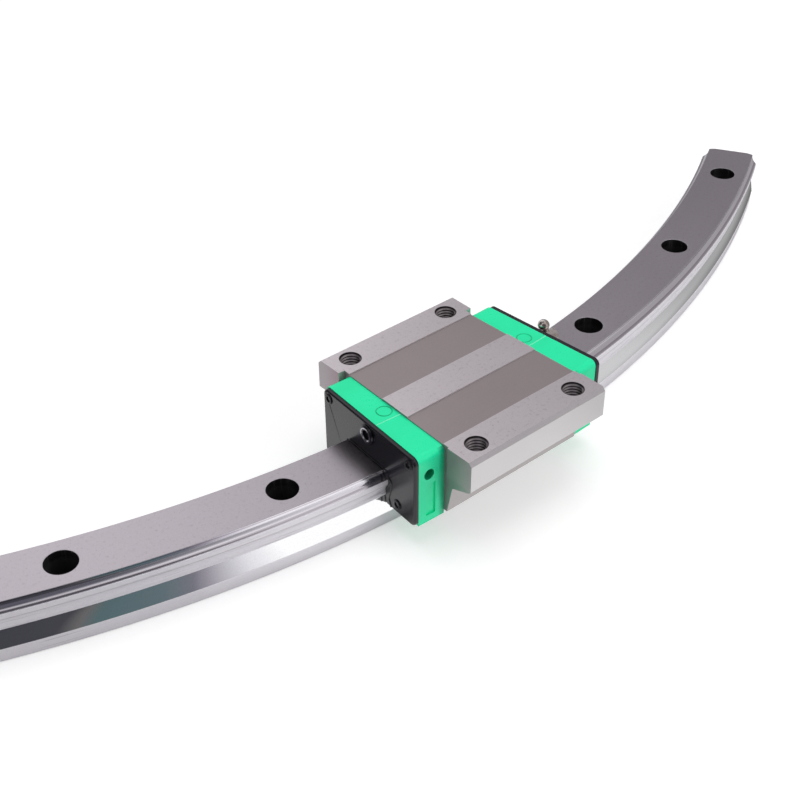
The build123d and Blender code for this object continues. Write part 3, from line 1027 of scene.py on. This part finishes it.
def makeSealScrews():
    # four domed socket screws on each seal, one object turned onto eight places
    screw = {
        "headRadius": 2.5 * mm,
        "headHeight": 0.5 * mm,
        "sunk": 0.6 * mm,
        "dome": 0.3 * mm,
        "socket": 1.25 * mm,
        "socketEdge": (0.2 * mm, 0.15 * mm),  # width and depth
        "socketDepth": 0.6 * mm,
        "drillPoint": 0.2 * mm,
        "upperSideDistance": 4.5 * mm,
        "upperTopDistance": 4.0 * mm,
        "lowerRailDistance": 4.8 * mm,
        "lowerBottomDistance": 5.2 * mm,
    }
    radius, height, dome, socket = (screw[key] for key in ("headRadius", "headHeight", "dome", "socket"))
    edgeWidth, edgeDepth = screw["socketEdge"]
    floor = height - screw["socketDepth"]
    rings = [(0, -screw["sunk"]), (radius, -screw["sunk"]), (radius, height - dome)]
    rings += roundedRim(radius, height, dome, (0.5, 1.0, math.pi / 2))
    rings += [(socket + edgeWidth, height), (socket, height - edgeDepth, "hex")]
    rings += [(socket, floor, "hex"), (0, floor - screw["drillPoint"])]
    head = addObject("screwHead", turnedMesh("screwHead", rings))
    upperAcross = carriage["capWidth"] / 2 - screw["upperSideDistance"]
    lowerAcross = railSizes["baseWidth"] / 2 + screw["lowerRailDistance"]
    places = [
        (upperAcross, carriage["capTop"] - screw["upperTopDistance"]),
        (lowerAcross, carriage["capBottom"] + screw["lowerBottomDistance"]),
    ]
    frames = [
        endFrame(side, 0.0, across * lateral, height)
        for side in (-1, 1)
        for across in (-1, 1)
        for lateral, height in places
    ]
    t = Tree("sealScrewTree", {"Screw": head, "Material": materials["screw_steel"]})
    settings = {"data_type": "FLOAT_VECTOR"}
    facing = t.add("GeometryNodeInputNamedAttribute", settings, {"Name": "aim"}, "Attribute")
    turn = t.add("FunctionNodeAlignRotationToVector", {"axis": "Z"}, {"Vector": facing})
    turned = t.onPoints(t.given("Geometry"), t.shape("Screw"), Rotation=turn)
    screws = t.bake("sealScrews", aimedPoints("sealScrewPoints", frames), turned)
    place(shadeByAngle(screws, 35.0), "carriage")


def makeGreasePlug():
    # a domed plug with a hexagon socket, on a thin collar
    plug = {
        "collar": 5.2 * mm,
        "collarHeight": 0.25 * mm,
        "collarEase": 0.1 * mm,
        "sunk": 0.2 * mm,
        "radius": 4.5 * mm,
        "height": 1.3 * mm,
        "ease": 0.8 * mm,
        "socket": 2.0 * mm,
        "socketRim": ((0.9 * mm, 0.0), (0.55 * mm, 0.35 * mm)),
        "socketStart": 0.4 * mm,
        "socketDepth": 1.1 * mm,
        "drillPoint": 0.3 * mm,
    }
    radius, height, socket = plug["radius"], plug["height"], plug["socket"]
    collar, collarTop, collarEase = plug["collar"], plug["collarHeight"], plug["collarEase"]
    rings = [(0, -plug["sunk"]), (collar, -plug["sunk"]), (collar, collarTop - collarEase)]
    rings += [(collar - collarEase, collarTop), (radius, collarTop), (radius, height - plug["ease"])]
    rings += roundedRim(radius, height, plug["ease"], (0.4, 0.8, 1.2, math.pi / 2))
    rings += [(socket + reach, height - depth) for reach, depth in plug["socketRim"]]
    rings += [(socket, height - plug["socketStart"], "hex"), (socket, height - plug["socketDepth"], "hex")]
    rings += [(0, height - plug["socketDepth"] - plug["drillPoint"])]
    mesh = turnedMesh("greasePlug", rings, 48)
    mesh.transform(endFrame(-1, 0.0, 0.0, carriage["greaseHeight"]))
    mesh.materials.append(materials["plug_steel"])
    place(shadeByAngle(addObject("greasePlug", mesh), 35.0), "carriage", "grease_plug")


def makeGreaseNipple():
    # a hexagon body on the seal and a round-headed stem that leans out of its side
    nipple = {
        "hex": 3.5 * mm,
        "hexEase": (0.1 * mm, 0.5 * mm),  # width and height
        "length": 7.6 * mm,
        "sunk": 0.2 * mm,
        "stem": 2.2 * mm,
        "stemLength": 2.0 * mm,
        "stemEase": 0.3 * mm,
        "neck": 1.5 * mm,
        "head": 2.8 * mm,
        "headSteps": 16,
        "headOpening": 0.25,
        "reach": 9.3 * mm,
        "mouth": (0.5 * mm, 0.35 * mm),  # radius and depth below the top
        "mouthDepth": 0.8 * mm,
        "lean": math.radians(30.0),
    }
    seat = endFrame(1, 0.0, 0.0, carriage["greaseHeight"])
    flats, length = nipple["hex"], nipple["length"]
    easeWidth, easeHeight = nipple["hexEase"]
    rings = [(0, -nipple["sunk"]), (flats, -nipple["sunk"], "hex"), (flats, length - easeHeight, "hex")]
    rings += [(flats - easeWidth, length), (0, length)]
    body = turnedMesh("nippleBody", rings, 48)
    body.transform(seat)
    stemRadius, stemLength, ease = nipple["stem"], nipple["stemLength"], nipple["stemEase"]
    head, reach = nipple["head"], nipple["reach"]
    middle = reach - head
    start = math.acos(nipple["neck"] / head)
    sweep = start + math.pi / 2 - nipple["headOpening"]
    angles = [-start + sweep * i / nipple["headSteps"] for i in range(nipple["headSteps"] + 1)]
    mouthRadius, mouthEdge = nipple["mouth"]
    rings = [(0, 0), (stemRadius, 0), (stemRadius, stemLength - ease), (stemRadius - ease, stemLength)]
    rings += [(nipple["neck"], stemLength)]
    rings += [(head * math.cos(a), middle + head * math.sin(a)) for a in angles]
    rings += [(mouthRadius, reach - mouthEdge), (0, reach - nipple["mouthDepth"])]
    stem = turnedMesh("nippleStem", rings, 48)
    lean = Matrix.Translation((0, 0, length / 2)) @ Matrix.Rotation(-math.pi / 2, 4, "X")
    stem.transform(seat @ lean @ Matrix.Rotation(nipple["lean"], 4, "Y"))
    bm = bmesh.new()
    bm.from_mesh(body)
    bm.from_mesh(stem)
    mesh = meshFrom(bm, "greaseNipple")
    mesh.materials.append(materials["nipple_metal"])
    place(shadeByAngle(addObject("greaseNipple", mesh), 35.0), "carriage", "grease_nipple")


def makeTapThreads():
    # a thread crest winding down each tapped hole
    thread = {
        "pitch": 1.5 * mm,
        "depth": 0.75 * mm,
        "sides": 4,
        "length": 18.2 * mm,
        "start": 0.5 * mm,
        "steps": 44,
    }
    wound = thread["length"] - 2 * thread["start"]
    t = Tree(
        "tapThreadTree",
        {
            "Radius": carriage["tapRadius"],
            "Length": wound,
            "Turns": wound / thread["pitch"],
            "Steps": thread["steps"],
            "Material": materials["block_steel"],
        },
    )
    sockets = {"Resolution": t.given("Steps"), "Rotations": t.given("Turns"), "Height": t.given("Length")}
    sockets["Start Radius"] = sockets["End Radius"] = t.given("Radius")
    spiral = t.add("GeometryNodeCurveSpiral", None, sockets)
    spiral = t.add("GeometryNodeSetCurveNormal", {"mode": "Z_UP"}, {"Curve": spiral})
    crests = t.onPoints(t.given("Geometry"), t.tube(spiral, thread["depth"], thread["sides"]))
    low = carriage["blockTop"] - thread["length"] + thread["start"]
    halfX, halfY = (spacing / 2 for spacing in carriage["tapSpacing"])
    points = bpy.data.meshes.new("tapPoints")
    points.from_pydata([(sx * halfX, sy * halfY, low) for sx in (-1, 1) for sy in (-1, 1)], [], [])
    place(shadeByAngle(t.bake("tapThreads", points, crests), 50.0), "carriage")


makeBlock()
makeEndCaps()
makeEndSeals()
makeCapMarks()
makeSealLips()
makeSealScrews()
makeGreasePlug()
makeGreaseNipple()
makeTapThreads()
print("carriage dressed")


# stage
def makeFloor():
    # white to the camera; what metal mirrors of it darkens to the left,
    # as in a studio with a dark room behind
    floor = {
        "size": 8.0,
        "color": (0.86, 0.86, 0.86, 1.0),
        "lift": 0.42,
        "paper": (0.72, 0.72, 0.72, 1.0),
        "mirrored": [
            (0.0, (0.045, 0.046, 0.056)),
            (0.37, (0.055, 0.055, 0.065)),
            (0.41, (0.13, 0.125, 0.125)),
            (0.45, (0.085, 0.135, 0.145)),
            (0.58, (0.11, 0.15, 0.165)),
            (0.645, (0.17, 0.17, 0.2)),
            (0.68, (0.31, 0.29, 0.33)),
            (0.77, (0.72, 0.71, 0.74)),
            (0.86, (1.0, 1.0, 1.0)),
        ],
        "darkEnds": (-0.28, -0.07),
        "behind": (0.12, 0.3),
        "contact": (0.014, 0.028),
        "contactLevel": 0.12,
        "falloff": ((0.03, 0.1, 0.42), (0.12, 0.24, 0.36)),  # painted shade to the right: from and to which x, and by how much
        "mirrorLevel": 1.06,
    }
    half = floor["size"] / 2
    corners = [(-half, -half, 0), (half, -half, 0), (half, half, 0), (-half, half, 0)]
    mesh = bpy.data.meshes.new("floor")
    mesh.from_pydata(corners, [], [(0, 1, 2, 3)])
    obj = addObject("floor", mesh)
    material = bpy.data.materials.new("floorPaper")
    material.use_nodes = True
    g = Graph(material.node_tree)
    g.tree.nodes.clear()
    x, y, _ = g.separate(g.add("ShaderNodeTexCoord", output="Object"))
    low, high = floor["darkEnds"]
    level = (x - low) / (high - low) + y.smooth(*floor["behind"])
    ramp = g.add("ShaderNodeValToRGB", {"stops": floor["mirrored"]}, {0: level})
    # what metal mirrors of the floor has a painted shadow along the rail and painted shade towards the right
    across = arcCenterY - y
    fromRail = abs((x * x + across * across) ** 0.5 - arcCenterY)
    contact = floor["contactLevel"]
    lit = floor["mirrorLevel"] * (contact + (1 - contact) * fromRail.smooth(*floor["contact"]))
    for start, end, share in floor["falloff"]:
        lit = lit * (1 - share * x.smooth(start, end))
    diffuse = g.add("ShaderNodeBsdfDiffuse", None, {"Color": floor["color"]})
    glow = g.add("ShaderNodeEmission", None, {"Strength": floor["lift"]})
    paper = g.add("ShaderNodeBsdfDiffuse", None, {"Color": floor["paper"]})
    white = g.add("ShaderNodeAddShader", None, {0: paper, 1: glow})
    mirrored = g.add("ShaderNodeEmission", None, {"Color": ramp, "Strength": lit})
    g.showByRay("ShaderNodeOutputMaterial", diffuse, white, mirrored)
    mesh.materials.append(material)
    obj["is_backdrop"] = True


def makeWorld():
    # white to the camera, soft on the object; in metal a white wall ahead,
    # a dark room beside and behind the camera
    sky = {
        "soft": 0.45,
        "sideways": 0.5,
        "white": (1.0, 1.0, 1.0, 1.0),
        "wall": (1.0, 0.99, 1.0),
        "dim": (0.25, 0.245, 0.255),
        "right": (0.4, 0.385, 0.395),
        "room": (0.11, 0.11, 0.13),
        "zenith": (0.13, 0.128, 0.14),
        "corner": (0.08, 0.08, 0.09),
        # azimuth, elevation, and how far from there the area ends and is full, in degrees
        "dimAt": (24.0, 18.0, 42.0, 18.0),
        "rightAt": (-18.0, 22.0, 52.0, 22.0),
        "roomAt": (-128.0, 20.0, 59.0, 24.0),
        "zenithAt": (100.0, 82.0, 25.0, 13.0),
        "cornerAt": (133.0, 30.0, 45.0, 22.0),
    }
    world = bpy.data.worlds.new("studio")
    bpy.context.scene.world = world
    world.use_nodes = True
    g = Graph(world.node_tree)
    g.tree.nodes.clear()
    direction = g.add("ShaderNodeTexCoord", output="Generated")

    def lobe(azimuth, elevation, outer, inner):
        # 1 near a direction and 0 far from it
        a, e = math.radians(azimuth), math.radians(elevation)
        center = (math.cos(a) * math.cos(e), math.sin(a) * math.cos(e), math.sin(e))
        sockets = {0: direction, 1: center}
        closeness = g.add("ShaderNodeVectorMath", {"operation": "DOT_PRODUCT"}, sockets, "Value")
        return closeness.smooth(math.cos(math.radians(outer)), math.cos(math.radians(inner)))

    def background(color, strength):
        return g.add("ShaderNodeBackground", None, {"Color": color, "Strength": strength})

    color = sky["wall"]
    for area in ("dim", "right", "room", "zenith", "corner"):
        color = g.mix(lobe(*sky[area + "At"]), color, sky[area])
    toRight = g.separate(direction)[0]
    soft = background(sky["white"], sky["soft"] * (1 + sky["sideways"] * toRight))
    g.showByRay("ShaderNodeOutputWorld", soft, background(sky["white"], 1.0), background(color, 1.0))


def aim(position, target, roll=0.0):
    direction = Vector(target) - Vector(position)
    turn = direction.to_track_quat("-Z", "Y").to_matrix().to_4x4()
    return Matrix.Translation(position) @ turn @ Matrix.Rotation(roll, 4, "Z")


def makeLamps():
    lamps = {
        "overhead": {"at": (0.15, 0.25, 1.9), "size": 1.6, "watts": 17.0},
        "front": {"at": (0.55, -1.35, 0.9), "size": 1.2, "watts": 9.0},
    }
    target = (0, 0, 0.03)
    for name, lamp in lamps.items():
        light = bpy.data.lights.new(name, "AREA")
        light.shape = "SQUARE"
        light.size = lamp["size"]
        light.energy = lamp["watts"]
        obj = addObject(name, light)
        obj.matrix_world = aim(lamp["at"], target)
        obj.visible_glossy = False  # metal mirrors the room, not the lamps


def makeCamera():
    # placed so that the carriage and the rail fall where the photo shows them
    view = {
        "position": (-0.33801, -0.35098, 0.39415),
        "target": (-0.02217, 0.00823, 0.04),
        "roll": 0.05,
        "focalPixels": 1350.3,
        "imageSize": 800,
        "center": (409.99, 399.27),
    }
    camera = bpy.data.cameras.new("camera")
    camera.sensor_width = 36.0
    camera.lens = camera.sensor_width * view["focalPixels"] / view["imageSize"]
    camera.shift_x = -(view["center"][0] - view["imageSize"] / 2) / view["imageSize"]
    camera.shift_y = (view["center"][1] - view["imageSize"] / 2) / view["imageSize"]
    camera.clip_start = 0.01
    obj = addObject("camera", camera)
    obj.matrix_world = aim(view["position"], view["target"], math.radians(-view["roll"]))
    bpy.context.scene.camera = obj


makeFloor()
makeWorld()
makeLamps()
makeCamera()
bpy.context.scene.view_settings.view_transform = "Standard"
print("stage set")

plain = [[list(map(float, corner)) for corner in box] for box in (cadBox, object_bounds())]
{"cad": plain[0], "visual": plain[1]}
